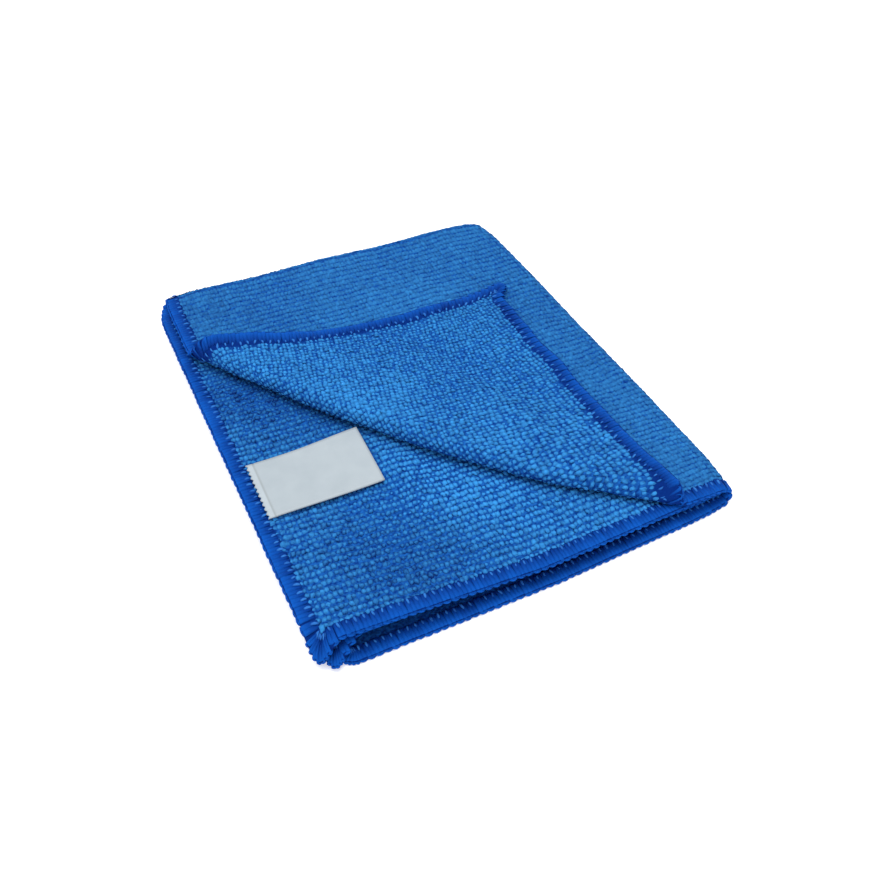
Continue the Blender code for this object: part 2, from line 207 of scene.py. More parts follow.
def foldInQuarters(u, v):
    if abs(v) < backBend:
        back = pairRadius * cos(v / pairRadius)
        above = -pairRadius * sin(v / pairRadius)
    else:
        back = backBend - abs(v)
        above = pairRadius if v < 0 else -pairRadius
    radius = coreRadius + above
    if abs(u) < sideBend:
        right = radius * cos(u / coreRadius)
        height = -radius * sin(u / coreRadius)
    else:
        right = sideBend - abs(u)
        height = radius if u < 0 else -radius
    x = sheet["rightSide"] - outerRadius + right
    y = sheet["backSide"] - pairRadius + back
    return x, y, (height + outerRadius) / (2 * outerRadius)


def across(x):
    return clamp((x - evenLeft) / (sheet["rightSide"] - evenLeft))


def along(y):
    return clamp((y - evenFront) / (sheet["backSide"] - evenFront))


def layerHeight(layer, x, y):
    front = mix(layer.frontLeft, layer.frontRight, across(x))
    back = mix(layer.backLeft, layer.backRight, across(x))
    return mix(front, back, along(y)) * mm


def layerSlide(layer, x, y):
    leftward = 1 - across(x)
    slideX = mix(layer.slideXFront, layer.slideXBack, along(y)) * leftward
    if leftward > 0.5:
        slideY = mix(layer.slideYMiddle, layer.slideYLeft, 2 * leftward - 1)
    else:
        slideY = mix(layer.slideYRight, layer.slideYMiddle, 2 * leftward)
    return slideX * mm, slideY * (1 - along(y)) * mm


def betweenLayers(level, rowValue):
    place = clamp(level) * (len(layers) - 1)
    below = min(int(place), len(layers) - 2)
    low, high = rowValue(layers[below]), rowValue(layers[below + 1])
    return tuple(mix(a, b, place - below) for a, b in zip(low, high))


# broad unevenness, and soft creases put where the cloth shows them
swell = {"height": 0.45 * mm, "lengthX": 62 * mm, "lengthY": 80 * mm,
         "startX": 2.1, "startY": 0.7, "hemX": 26 * mm, "hemY": 25 * mm}


def swellHeight(x, y, level):
    wave = (sin(2 * pi * x / swell["lengthX"] + swell["startX"] * level)
            * sin(2 * pi * y / swell["lengthY"] + swell["startY"]))
    inside = smooth((x - evenLeft) / swell["hemX"]) * smooth((y - evenFront) / swell["hemY"])
    return swell["height"] * wave * inside * smooth(level / layers[2].level)


def distanceTo(place, low, high):
    way = high - low
    share = clamp((place - low).dot(way) / way.length_squared)
    return (place - low - way * share).length


def creaseHeight(part, place):
    height = 0.0
    for crease in creases:
        if crease.part != part:
            continue
        near = min(distanceTo(place, Vector(low) * mm, Vector(high) * mm)
                   for low, high in zip(crease.path, crease.path[1:]))
        height += crease.height * mm * exp(-(near / (crease.halfWidth * mm)) ** 2)
    return height


def droop(level, x, y):
    tipReach, = betweenLayers(level, lambda layer: (layer.tipReach,))
    reach = hypot(x - evenLeft, y - evenFront) / (tipReach * mm)
    share = (1 - clamp(reach)) ** droopPower
    if share == 0 or level > (layers[2].level + top.level) / 2:
        return 0, 0, 0

    def pull(layer):
        slideX, slideY = layerSlide(layer, evenLeft, evenFront)
        return (layer.tipX * mm - evenLeft - slideX, layer.tipY * mm - evenFront - slideY,
                layer.tipZ * mm - layerHeight(layer, evenLeft, evenFront))

    return tuple(share * value for value in betweenLayers(level, pull))


def cornerCut(x, y, level):
    onTop = smooth(3 * level - 2)
    partShare = {"all": 1, "top": onTop, "lower": 1 - onTop}
    cutX = cutY = press = 0.0
    for corner in stackCorners:
        atRight = corner.side == "right"
        atBack = corner.end == "back"
        toX = abs(x - (sheet["rightSide"] if atRight else evenLeft))
        toY = abs(y - (sheet["backSide"] if atBack else evenFront))
        share = (1 - clamp(hypot(toX, toY) / (corner.reach * mm))) ** 2
        share *= partShare[corner.part]
        cutX += share * corner.cutX * mm * (-1 if atRight else 1)
        cutY += share * corner.cutY * mm * (-1 if atBack else 1)
        press += share * corner.press
    return cutX, cutY, press


def settle(x, y, level, outer):
    # the outer pair of layers is one piece round the right fold, past the inner pair
    slideX, slideY = betweenLayers(level, lambda layer: layerSlide(layer, x, y))
    if outer:
        slideY = mix(layerSlide(layers[0], x, y)[1], layerSlide(top, x, y)[1], level)
    height, = betweenLayers(level, lambda layer: (layerHeight(layer, x, y),))
    pullX, pullY, pullZ = droop(level, x, y)
    cutX, cutY, press = cornerCut(x, y, level)
    skew = sheet["backSkew"] * (1 - across(x)) * along(y)
    return Vector((x + slideX + pullX + cutX, y + slideY + pullY + cutY + skew,
                   height * (1 - press * level) + pullZ + swellHeight(x, y, level)))


def turnPlace(x, y):
    offset = Vector((x, y)) - turnStart
    return offset.dot(turnAlong) / turnLength, offset.dot(turnOut)


def turnBulge(share):
    share = clamp(share)
    return turn["bulge"] * 4 * share * (1 - share) * (1 + turn["bulgeSkew"] * (2 * share - 1))


def rollRadius(share):
    share = clamp(share)
    if share < 0.5:
        return mix(turn["radiusLeft"], turn["radiusMiddle"], smooth(2 * share))
    return mix(turn["radiusMiddle"], turn["radiusFront"], smooth(2 * share - 1))


def pastRoll(x, y):
    # how far a place on layer 1 lies beyond the start of the roll, and the roll's radius there
    share, beyond = turnPlace(x, y)
    radius = rollRadius(share)
    return beyond - turnBulge(share) + turn["frontShare"] * radius, radius


def hemPlace(rows, share):
    share = clamp(share)
    for low, high in zip(rows, rows[1:]):
        if share <= high.along:
            step = smooth((share - low.along) / (high.along - low.along))
            return tuple(mix(a, b, step) * mm for a, b in zip(low[1:], high[1:]))
    return tuple(value * mm for value in rows[-1][1:])


def turnCornerBack(x, y):
    share, beyond = turnPlace(x, y)
    radius = rollRadius(share)
    start = turnBulge(share) - turn["frontShare"] * radius
    past = beyond - start
    if past <= 0:
        return x, y, 0.0
    foot = turnStart + turnAlong * (share * turnLength)
    rolled = smooth(past / (pi * radius))
    if past < pi * radius:
        place = foot + turnOut * (start + radius * sin(past / radius))
        lift = radius * (1 - cos(past / radius))
    else:
        back = past - pi * radius
        give = 2 * turnBulge(share) * clamp(back / turn["give"])
        place = foot + turnOut * (start - back - give)
        lift = mix(2 * radius, turn["rest"], smooth(back / turn["settle"]))
    down = (turn["leftY"] - y) / (turn["leftY"] - topFront)
    left = (turn["frontX"] - x) / (turn["frontX"] - topLeft)
    pull = clamp(down + left - 1) * rolled
    toBackHem = x - topLeft
    toRightHem = y - topFront
    backShift, backLift, backCurl = hemPlace(flapBackHem, down)
    rightShift, rightLift, rightCurl = hemPlace(flapRightHem, left)
    backFade = smooth(1 - toBackHem / turn["waveReach"]) * smooth(past / turn["freeBack"])
    rightFade = smooth(1 - toRightHem / turn["waveReach"]) * smooth(past / turn["freeRight"])
    place.x += turn["pullX"] * pull + rightShift * rightFade
    place.y += turn["pullY"] * pull - backShift * backFade
    lift += backLift * exp(-toBackHem / turn["liftReach"]) * rolled
    lift += rightLift * exp(-toRightHem / turn["liftReach"]) * rolled * (1 - backFade)
    curl = backCurl * exp(-toBackHem / turn["curlReach"])
    curl += rightCurl * exp(-toRightHem / turn["curlReach"])
    lift += curl * smooth(past / turn["freeBack"])
    return place.x, place.y, lift


def slideTop(x, y, ways=1):
    return x + ways * top.slideXBack * mm, y + ways * top.slideYLeft * mm * (1 - along(y))


def onTopLayer(u, v):
    # place on layer 1 before its corner is rolled back, or None elsewhere
    if not inTopQuarter(u, v):
        return None
    x, y, level = foldInQuarters(u, v)
    return slideTop(x, y)


nearly = 0.01                   # share of the stack's height that still counts as its top or bottom
lowestHeights = (0.7, 0.9)      # of the lowest layer's middle, at the sheet and at the hem (mm)


def foldedPoint(u, v):
    x, y, level = foldInQuarters(*cornerMoved(u, v))
    lift = 0.0
    if u < 0 and v < 0 and level > 1 - nearly:
        x, y, lift = turnCornerBack(*slideTop(x, y))
        x, y = slideTop(x, y, ways=-1)
    point = settle(x, y, level, v < 0)
    point.z += lift
    if u < 0 and level > 0.5:
        part = "second" if v > 0 else "flap" if lift > 0 else "top"
        point.z += creaseHeight(part, point.to_2d())
    if level < nearly:
        point.z = mix(*lowestHeights, hemShare(u, v)) * mm
    return point + sheet["shift"]


# where the cloth lies at a flat place: ways across and along it, the outer face's way out, and
# how far it is stretched each way
Lie = namedtuple("Lie", "point acrossWay alongWay out acrossStretch alongStretch")


def surfaceFrame(u, v):
    step = 0.25 * mm
    low, high = foldedPoint(u - step, v), foldedPoint(u + step, v)
    near, far = foldedPoint(u, v - step), foldedPoint(u, v + step)
    acrossWay = (high - low).normalized()
    alongWay = (far - near).normalized()
    return Lie((low + high) / 2, acrossWay, alongWay, acrossWay.cross(alongWay).normalized(),
               (high - low).length / (2 * step), (far - near).length / (2 * step))


# colours and finishes
def shaderGroup(name, outputs, inputs):
    group = bpy.data.node_groups.new(name, "ShaderNodeTree")
    for label, kind in outputs:
        group.interface.new_socket(label, in_out="OUTPUT", socket_type=kind)
    for label, kind, value in inputs:
        socket = group.interface.new_socket(label, in_out="INPUT", socket_type=kind)
        socket.default_value = value
    start = group.nodes.new("NodeGroupInput")
    end = group.nodes.new("NodeGroupOutput")
    return group, start, end


def addNode(tree, kind, inputs=(), **settings):
    node = tree.nodes.new(kind)
    for key, value in settings.items():
        setattr(node, key, value)
    for key, value in dict(inputs).items():
        if isinstance(value, bpy.types.NodeSocket):
            tree.links.new(value, node.inputs[key])
        else:
            node.inputs[key].default_value = value
    return node


def maths(tree, operation, *values, **settings):
    return addNode(tree, "ShaderNodeMath", enumerate(values), operation=operation,
                   **settings).outputs[0]


def noiseAbout(tree, place, scale, detail, apart=None):
    # a noise, and the same noise swinging about zero
    inputs = {"Vector": place, "Scale": scale, "Detail": detail}
    if apart is not None:
        inputs["W"] = apart
    noiseNode = addNode(tree, "ShaderNodeTexNoise", inputs,
                        noise_dimensions="3D" if apart is None else "4D")
    return noiseNode.outputs["Fac"], maths(tree, "SUBTRACT", noiseNode.outputs["Fac"], 0.5)


def mixedColour(tree, share, first, second, blend="MIX"):
    return addNode(tree, "ShaderNodeMix", {"Factor": share, "A": first, "B": second},
                   data_type="RGBA", blend_type=blend).outputs["Result"]


def makeYarnGroup():
    # yarn colour with fibres: tone moves it from the dark to the light colour
    group, start, end = shaderGroup(
        "yarn", [("Color", "NodeSocketColor")],
        [("Dark", "NodeSocketColor", (0, 0, 0, 1)), ("Light", "NodeSocketColor", (1, 1, 1, 1)),
         ("Tone", "NodeSocketFloat", 0.5), ("Patch Size", "NodeSocketFloat", 55.0),
         ("Patch Amount", "NodeSocketFloat", 0.12),
         ("Fibre Size", "NodeSocketFloat", 2500.0), ("Fibre Amount", "NodeSocketFloat", 0.18)])
    given = start.outputs
    place = addNode(group, "ShaderNodeTexCoord").outputs["Object"]
    fibre = noiseAbout(group, place, given["Fibre Size"], 2.0)[1]
    patch = noiseAbout(group, place, given["Patch Size"], 3.0)[1]
    tone = maths(group, "MULTIPLY_ADD", patch, given["Patch Amount"], given["Tone"])
    tone = maths(group, "MULTIPLY_ADD", fibre, given["Fibre Amount"], tone, use_clamp=True)
    group.links.new(mixedColour(group, tone, given["Dark"], given["Light"]),
                    end.inputs["Color"])
    return group


def newMaterial(name, roughness, specular=0.5):
    material = bpy.data.materials.new(name)
    material.use_nodes = True
    shader = material.node_tree.nodes["Principled BSDF"]
    shader.inputs["Roughness"].default_value = roughness
    shader.inputs["Specular IOR Level"].default_value = specular
    return material, material.node_tree, shader


def dress(tree, shader, colour, height, strength, distance):
    bump = addNode(tree, "ShaderNodeBump",
                   {"Height": height, "Strength": strength, "Distance": distance})
    tree.links.new(colour, shader.inputs["Base Color"])
    tree.links.new(bump.outputs["Normal"], shader.inputs["Normal"])


yarnGroup = makeYarnGroup()
# each yarn's tone runs between its dark and light colour; in loops and threads the dark end is also
# painted shade at the foot and the light end painted highlight at the crown
blues = {
    "terryDark": (0.002, 0.020, 0.140, 1),
    "terryLight": (0.038, 0.285, 0.700, 1),
    "groundDark": (0.002, 0.030, 0.190, 1),
    "groundLight": (0.010, 0.110, 0.420, 1),
    "threadDark": (0.001, 0.010, 0.120, 1),
    "threadLight": (0.004, 0.096, 0.485, 1),
    "dashDark": (0.003, 0.040, 0.280, 1),
    "dashLight": (0.030, 0.170, 0.540, 1),
}


def yarnColour(tree, shades, tone):
    yarn = addNode(tree, "ShaderNodeGroup", node_tree=yarnGroup)
    yarn.inputs["Dark"].default_value = blues[shades + "Dark"]
    yarn.inputs["Light"].default_value = blues[shades + "Light"]
    if isinstance(tone, float):
        yarn.inputs["Tone"].default_value = tone
    else:
        tree.links.new(tone, yarn.inputs["Tone"])
    return yarn.outputs["Color"]


# loops and threads: tones at the foot, painted shade, and at the crown, painted highlight; how the
# strands run over the shape, how strongly they and finer specks show, and the depth of the bump
# (mm)
Yarn = namedtuple("Yarn", "shades roughness specular foot crown grain strands specks bump")
yarns = {
    "terry outer face": Yarn("terry", 0.95, 0.06, 0.30, 0.50, (3.2, 1.3, 2.0), 0.55, 0.45, 0.25),
    "terry inner face": Yarn("terry", 0.95, 0.06, 0.34, 0.84, (3.2, 1.3, 2.0), 0.55, 0.60, 0.25),
    "overlock thread": Yarn("thread", 0.65, 0.03, 0.18, 0.82, (0.9, 5.0, 2.0), 0.60, 0.0, 0.20),
    "needle thread": Yarn("dash", 0.65, 0.03, 0.15, 0.95, (0.9, 5.0, 2.0), 0.60, 0.0, 0.20),
}


def makeYarn(name):
    # every repeat has its own tone, which also sets its strands apart from its neighbours'
    values = yarns[name]
    material, tree, shader = newMaterial(name, values.roughness, values.specular)
    # rise runs from 0, painted shade at a loop's foot or a thread's sunk end, to 1, painted
    # highlight at the crown or edge
    rise, tone, local = (addNode(tree, "ShaderNodeAttribute", attribute_name=label)
                         for label in ("rise", "tone", "local"))
    curve = addNode(tree, "ShaderNodeMapRange",
                    {"Value": rise.outputs["Fac"], "From Min": 0.0, "From Max": 1.0,
                     "To Min": values.foot, "To Max": values.crown})
    shown = maths(tree, "ADD", curve.outputs[0], tone.outputs["Fac"])
    grain = addNode(tree, "ShaderNodeVectorMath",
                    {0: local.outputs["Vector"], 1: values.grain}, operation="MULTIPLY")
    apart = maths(tree, "MULTIPLY", tone.outputs["Fac"], 90.0)
    strand, strandSwing = noiseAbout(tree, grain.outputs[0], 1.0, 2.0, apart)
    shown = maths(tree, "MULTIPLY_ADD", strandSwing, values.strands, shown)
    if values.specks:
        place = addNode(tree, "ShaderNodeTexCoord").outputs["Object"]
        specks = noiseAbout(tree, place, 800.0, 1.5)[1]
        shown = maths(tree, "MULTIPLY_ADD", specks, values.specks, shown)
    dress(tree, shader, yarnColour(tree, values.shades, shown), strand, 0.5, values.bump * mm)
    return material


def makeGround():
    # the knitted ground under the loops, darker than their crowns, partly painted shade between the
    # loops; along the hem it takes the thread's dark tone, painted shade between the stitches
    material, tree, shader = newMaterial("knitted ground", 0.95, 0.04)
    hem = addNode(tree, "ShaderNodeAttribute", attribute_name="hem")
    flat = addNode(tree, "ShaderNodeUVMap", uv_map="flat")
    knit = addNode(tree, "ShaderNodeTexNoise",
                   {"Vector": flat.outputs["UV"], "Scale": 0.8, "Detail": 2.0})
    weave = addNode(tree, "ShaderNodeMapRange",
                    {"Value": knit.outputs["Fac"], "From Min": 0.35, "From Max": 0.65})
    ground = yarnColour(tree, "ground", weave.outputs["Result"])
    colour = mixedColour(tree, hem.outputs["Fac"], ground, yarnColour(tree, "thread", 0.15))
    dress(tree, shader, colour, weave.outputs["Result"], 0.5, 0.4 * mm)
    return material


def pieceFrom(name, mesh, material):
    mesh.name = name
    mesh.materials.append(material)
    piece = bpy.data.objects.new(name, mesh)
    bpy.context.scene.collection.objects.link(piece)
    return piece


def fillGrid(mesh, grid):
    return [mesh.faces.new((low[k], low[k + 1], high[k + 1], high[k]))
            for low, high in zip(grid, grid[1:]) for k in range(len(low) - 1)]


def thicken(piece, thickness, thinShare=None):
    # walls on both sides of the middle; the first vertex group keeps the full thickness
    solid = piece.modifiers.new("Thickness", "SOLIDIFY")
    solid.thickness = thickness
    solid.offset = 0
    if thinShare is not None:
        solid.vertex_group = piece.vertex_groups[0].name
        solid.thickness_vertex_group = thinShare
    graph = bpy.context.evaluated_depsgraph_get()
    solidMesh = bpy.data.meshes.new_from_object(piece.evaluated_get(graph))
    piece.modifiers.remove(solid)
    piece.vertex_groups.clear()
    piece.data = solidMesh
    solidMesh.name = piece.name


# the sheet itself
clothValues = {
    "cell": 3.0 * mm,
    "hemLines": (0.0, 1.2, 2.6, 4.0, 5.2),     # mm from the edge
    "backFoldSteps": 10,
    "rightFoldSteps": 14,
    "rollLines": 26,
    "rollLineStep": 0.62 * mm,
    "rollFirstLine": -3.6 * mm,
    "scoreReach": 3,            # these three are multiples of the roll's bulge
    "bulgeBefore": 3,
    "bulgeAfter": 4,
    "stillEdge": 14 * mm,
    "smallestCell": 0.22 * mm,
    "groundThickness": 0.80 * mm,
    "hemThickness": 1.25 * mm,
}


def scoreAlong(mesh, point, normal, faces):
    edges = list({edge for face in faces for edge in face.edges})
    corners = list({corner for face in faces for corner in face.verts})
    bmesh.ops.bisect_plane(mesh, geom=corners + edges + faces, dist=1e-7,
                           plane_co=point, plane_no=normal)


def gridLines(half, foldRadius, foldSteps):
    band = pi / 2 * foldRadius
    inner = half - sheet["hemWidth"] - sheet["hemStep"]
    cells = round((inner - band) / clothValues["cell"])
    side = [band + (inner - band) * cell / cells for cell in range(cells + 1)]
    side += [half - place * mm for place in clothValues["hemLines"]]
    fold = [band * (2 * step / foldSteps - 1) for step in range(1, foldSteps)]
    return sorted([-place for place in side] + fold + side)


def flatCloth():
    values = clothValues
    mesh = bmesh.new()
    columns = gridLines(halfWidth, coreRadius, values["rightFoldSteps"])
    rows = gridLines(halfDepth, pairRadius, values["backFoldSteps"])
    fillGrid(mesh, [[mesh.verts.new((x, y, 0)) for x in columns] for y in rows])
    # lines scored along the roll, then bent to its bulge
    toFlat = Vector((topLeft + halfWidth, topFront + halfDepth))
    first, step = values["rollFirstLine"], values["rollLineStep"]
    reach = turn["bulge"] * values["scoreReach"] + values["rollLines"] * step
    for line in range(values["rollLines"]):
        place = turnStart + turnOut * (first + line * step) - toFlat
        near = []
        for face in mesh.faces:
            middle = face.calc_center_median().to_2d()
            if inTopQuarter(*middle) and abs((middle - place).dot(turnOut)) < reach:
                near.append(face)
        scoreAlong(mesh, place.to_3d(), turnOut.to_3d(), near)
    bmesh.ops.remove_doubles(mesh, verts=mesh.verts, dist=values["smallestCell"])
    bandEnd = first + (values["rollLines"] - 1) * step
    for vert in mesh.verts:
        if not inTopQuarter(vert.co.x, vert.co.y):
            continue
        inside = min(vert.co.x + halfWidth, vert.co.y + halfDepth)
        share, beyond = turnPlace(vert.co.x + toFlat.x, vert.co.y + toFlat.y)
        before = smooth(1 + (beyond - first) / (values["bulgeBefore"] * turn["bulge"]))
        after = smooth(1 - (beyond - bandEnd) / (values["bulgeAfter"] * turn["bulge"]))
        bulge = turnBulge(share) * clamp(inside / values["stillEdge"])
        vert.co += (turnOut * bulge * min(before, after)).to_3d()
    return mesh


def makeCloth():
    mesh = flatCloth()
    bmesh.ops.triangulate(mesh, faces=mesh.faces)
    flatPlaces = [vert.co.to_2d() for vert in mesh.verts]
    uvLayer = mesh.loops.layers.uv.new("flat")
    for face in mesh.faces:
        face.smooth = True
        for loop in face.loops:
            loop[uvLayer].uv = (loop.vert.co.x / mm, loop.vert.co.y / mm)
    for vert in mesh.verts:
        vert.co = foldedPoint(vert.co.x, vert.co.y)
    data = bpy.data.meshes.new("cloth")
    mesh.to_mesh(data)
    mesh.free()
    hem = data.attributes.new("hem", "FLOAT", "POINT")
    hem.data.foreach_set("value", [hemShare(*place) for place in flatPlaces])
    piece = pieceFrom("cloth-sheet", data, makeGround())
    full = piece.vertex_groups.new(name="full thickness")
    for index, place in enumerate(flatPlaces):
        full.add([index], hemShare(*place), "REPLACE")
    thicken(piece, clothValues["hemThickness"],
            clothValues["groundThickness"] / clothValues["hemThickness"])
    return piece


cloth = makeCloth()
print("sheet:", len(cloth.data.polygons), "faces")


# repeated shapes: a carrier mesh holds one point for each, with its directions
Place = namedtuple("Place", "point out along size stretch tone")


def carrierFrom(name, places):
    data = bpy.data.meshes.new(name)
    data.from_pydata([place.point for place in places], [], [])
    for label in ("out", "along"):
        layer = data.attributes.new(label, "FLOAT_VECTOR", "POINT")
        layer.data.foreach_set("vector", [value for place in places
                                          for value in getattr(place, label)])
    for label in ("size", "stretch", "tone"):
        layer = data.attributes.new(label + "Base", "FLOAT", "POINT")
        layer.data.foreach_set("value", [getattr(place, label) for place in places])
    carrier = bpy.data.objects.new(name, data)
    bpy.context.scene.collection.objects.link(carrier)
    return carrier


def makeRepeatTree():
    # puts one of a few shapes on every point, turned to the surface, each a little different
    tree = bpy.data.node_groups.new("repeat on surface", "GeometryNodeTree")
    sockets = tree.interface
    sockets.new_socket("Geometry", in_out="INPUT", socket_type="NodeSocketGeometry")
    kinds = {"Shapes": "Collection", "Finish": "Material", "Seed": "Int"}
    for label in ("Shapes", "Finish", "Width", "Length", "Height", "Size Spread", "Turn Spread",
                  "Lean Spread", "Place Spread", "Tone Spread", "Seed"):
        sockets.new_socket(label, in_out="INPUT",
                           socket_type="NodeSocket" + kinds.get(label, "Float"))
    sockets.new_socket("Geometry", in_out="OUTPUT", socket_type="NodeSocketGeometry")
    start = tree.nodes.new("NodeGroupInput")
    end = tree.nodes.new("NodeGroupOutput")

    def named(label, kind):
        node = addNode(tree, "GeometryNodeInputNamedAttribute", data_type=kind)
        node.inputs["Name"].default_value = label
        return node.outputs["Attribute"]

    def seeded(salt):
        return maths(tree, "ADD", start.outputs["Seed"], float(salt))

    def spread(socket, salt, vector=False):
        # random from minus to plus the spread
        minus = maths(tree, "MULTIPLY", socket, -1.0)
        node = addNode(tree, "FunctionNodeRandomValue",
                       data_type="FLOAT_VECTOR" if vector else "FLOAT")
        ends = [item for item in node.inputs if item.name in ("Min", "Max") and item.enabled]
        tree.links.new(minus, ends[0])
        tree.links.new(socket, ends[1])
        tree.links.new(seeded(salt), node.inputs["Seed"])
        return next(item for item in node.outputs if item.enabled)

    def turned(rotation, axis, angle):
        by = addNode(tree, "FunctionNodeAxisAngleToRotation", {"Axis": axis, "Angle": angle})
        return addNode(tree, "FunctionNodeRotateRotation",
                       {"Rotation": rotation, "Rotate By": by.outputs[0]},
                       rotation_space="LOCAL").outputs[0]

    moved = addNode(tree, "GeometryNodeSetPosition",
                    {"Geometry": start.outputs["Geometry"],
                     "Offset": spread(start.outputs["Place Spread"], 1, vector=True)})
    facing = addNode(tree, "FunctionNodeAxesToRotation",
                     {"Primary Axis": named("out", "FLOAT_VECTOR"),
                      "Secondary Axis": named("along", "FLOAT_VECTOR")},
                     primary_axis="Z", secondary_axis="Y").outputs[0]
    facing = turned(facing, (0, 0, 1), spread(start.outputs["Turn Spread"], 2))
    facing = turned(facing, (1, 0, 0), spread(start.outputs["Lean Spread"], 5))
    facing = turned(facing, (0, 1, 0), spread(start.outputs["Lean Spread"], 6))
    grown = maths(tree, "ADD", spread(start.outputs["Size Spread"], 3), 1.0)
    size = maths(tree, "MULTIPLY", grown, named("sizeBase", "FLOAT"))
    length = maths(tree, "MULTIPLY", start.outputs["Length"], named("stretchBase", "FLOAT"))
    sides = addNode(tree, "ShaderNodeCombineXYZ",
                    {"X": start.outputs["Width"], "Y": length, "Z": start.outputs["Height"]})
    scale = addNode(tree, "ShaderNodeVectorMath", {0: sides.outputs[0], "Scale": size},
                    operation="SCALE")
    shapes = addNode(tree, "GeometryNodeCollectionInfo",
                     {"Collection": start.outputs["Shapes"], "Separate Children": True,
                      "Reset Children": True})
    pick = addNode(tree, "FunctionNodeRandomValue", data_type="INT")
    for item in pick.inputs:
        if item.enabled and item.name in ("Min", "Max"):
            item.default_value = 0 if item.name == "Min" else mostShapes
    tree.links.new(seeded(7), pick.inputs["Seed"])
    tone = maths(tree, "ADD", spread(start.outputs["Tone Spread"], 4), named("toneBase", "FLOAT"))
    toned = addNode(tree, "GeometryNodeStoreNamedAttribute",
                    {"Geometry": moved.outputs["Geometry"], "Name": "tone"},
                    data_type="FLOAT", domain="POINT")
    tree.links.new(tone, next(item for item in toned.inputs
                              if item.enabled and item.name == "Value"))
    placed = addNode(tree, "GeometryNodeInstanceOnPoints",
                     {"Points": toned.outputs["Geometry"], "Instance": shapes.outputs[0],
                      "Pick Instance": True, "Rotation": facing, "Scale": scale.outputs[0]})
    tree.links.new(next(item for item in pick.outputs if item.enabled),
                   placed.inputs["Instance Index"])
    solid = addNode(tree, "GeometryNodeRealizeInstances",
                    {"Geometry": placed.outputs["Instances"]})
    finish = addNode(tree, "GeometryNodeSetMaterial",
                     {"Geometry": solid.outputs["Geometry"], "Material": start.outputs["Finish"]})
    tree.links.new(finish.outputs["Geometry"], end.inputs["Geometry"])
    return tree


mostShapes = 29        # the random pick's last number, which wraps round the shapes there are
repeatTree = makeRepeatTree()


def repeatOnSurface(name, places, shapes, finish, values):
    carrier = carrierFrom(name + " carrier", places)
    modifier = carrier.modifiers.new("repeat", "NODES")
    modifier.node_group = repeatTree
    given = dict(values, Shapes=shapes, Finish=finish)
    for item in repeatTree.interface.items_tree:
        if item.in_out == "INPUT" and item.name in given:
            modifier[item.identifier] = given[item.name]
    graph = bpy.context.evaluated_depsgraph_get()
    mesh = bpy.data.meshes.new_from_object(carrier.evaluated_get(graph))
    carrier.modifiers.remove(modifier)
    bpy.data.objects.remove(carrier)
    for label in ("out", "along", "sizeBase", "stretchBase", "toneBase"):
        if label in mesh.attributes:
            mesh.attributes.remove(mesh.attributes[label])
    mesh.materials.clear()
    piece = pieceFrom(name, mesh, finish)
    print(name + ":", len(places), "repeats,", len(mesh.polygons), "faces")
    return piece


def shapesFrom(name, meshes):
    # the shapes one repeat can choose from, each an object in its own collection
    group = bpy.data.collections.new(name)
    bpy.context.scene.collection.children.link(group)
    for index, mesh in enumerate(meshes):
        bmesh.ops.recalc_face_normals(mesh, faces=mesh.faces)
        for face in mesh.faces:
            face.smooth = True
        data = bpy.data.meshes.new(name + str(index))
        mesh.to_mesh(data)
        mesh.free()
        group.objects.link(bpy.data.objects.new(name + str(index), data))
    return group


def dropShapes(group):
    for shape in list(group.objects):
        bpy.data.objects.remove(shape)
    bpy.data.collections.remove(group)


# one terry loop: a short arch of yarn with both feet in the ground
tuftShape = {
    "arcs": ((-0.50, 0.26, -0.35), (-0.30, 0.46, 0.62), (0.02, 0.50, 1.00),
             (0.32, 0.44, 0.66), (0.50, 0.24, -0.35)),       # along, half width, height
    "arcPoints": 5,
    "foot": -0.35,
    "flatness": (0.8, 0.7),     # powers of the arc, below 1 for a fuller one
    "uneven": Vector((0.26, 0.26, 0.40)),
    "unevenSteps": (0.9, 0.8, 5.3),
    "kinds": 9,
}


def makeTuft(kind):
    mesh = bmesh.new()
    rise = mesh.verts.layers.float.new("rise")
    local = mesh.verts.layers.float_vector.new("local")
    foot, points = tuftShape["foot"], tuftShape["arcPoints"]
    perRow, perPoint, perKind = tuftShape["unevenSteps"]
    widePower, highPower = tuftShape["flatness"]
    rows = []
    for index, (y, half, height) in enumerate(tuftShape["arcs"]):
        row = []
        for k in range(points):
            angle = pi * (1 - k / (points - 1))
            bump = Vector([noise.noise((index * perRow + axis * 7, k * perPoint, kind * perKind))
                           * amount for axis, amount in enumerate(tuftShape["uneven"])])
            x = half * copysign(abs(cos(angle)) ** widePower, cos(angle))
            inside = 0 < k < points - 1
            z = foot + (height - foot) * sin(angle) ** highPower if inside else foot
            vert = mesh.verts.new(Vector((x, y, z)) + bump)
            # the height also sets the colour: painted shade at the foot, painted highlight at the
            # crown
            vert[rise] = clamp(z)
            vert[local] = (x, y, z)
            row.append(vert)
        rows.append(row)
    fillGrid(mesh, rows)
    return mesh


# terry of each part of the cloth: pitches across and along it, sizes of a loop, unevenness
Terry = namedtuple("Terry", "pitchAcross pitchAlong pitchAtFold width length height "
                            "size turn lean place tone merge wander seed")
terryValues = {
    "top": Terry(1.64, 2.05, 3.65, 1.30, 0.98, 0.24, 0.14, 0.10, 0.06, 0.12, 0.06, 0.14, 0.90, 3),
    "flap": Terry(1.95, 1.82, 1.82, 0.90, 1.02, 0.46, 0.20, 0.55, 0.24, 0.30, 0.10, 0.17, 0.50, 5),
    "second": Terry(1.72, 2.62, 2.84, 1.06, 0.84, 0.44, 0.20, 0.36, 0.22, 0.26, 0.12, 0.17, 0.60,
                    7),
    "under": Terry(1.90, 3.00, 3.00, 1.34, 1.20, 0.35, 0.10, 0.08, 0.06, 0.06, 0.06, 0.10, 0.60,
                   9),
}
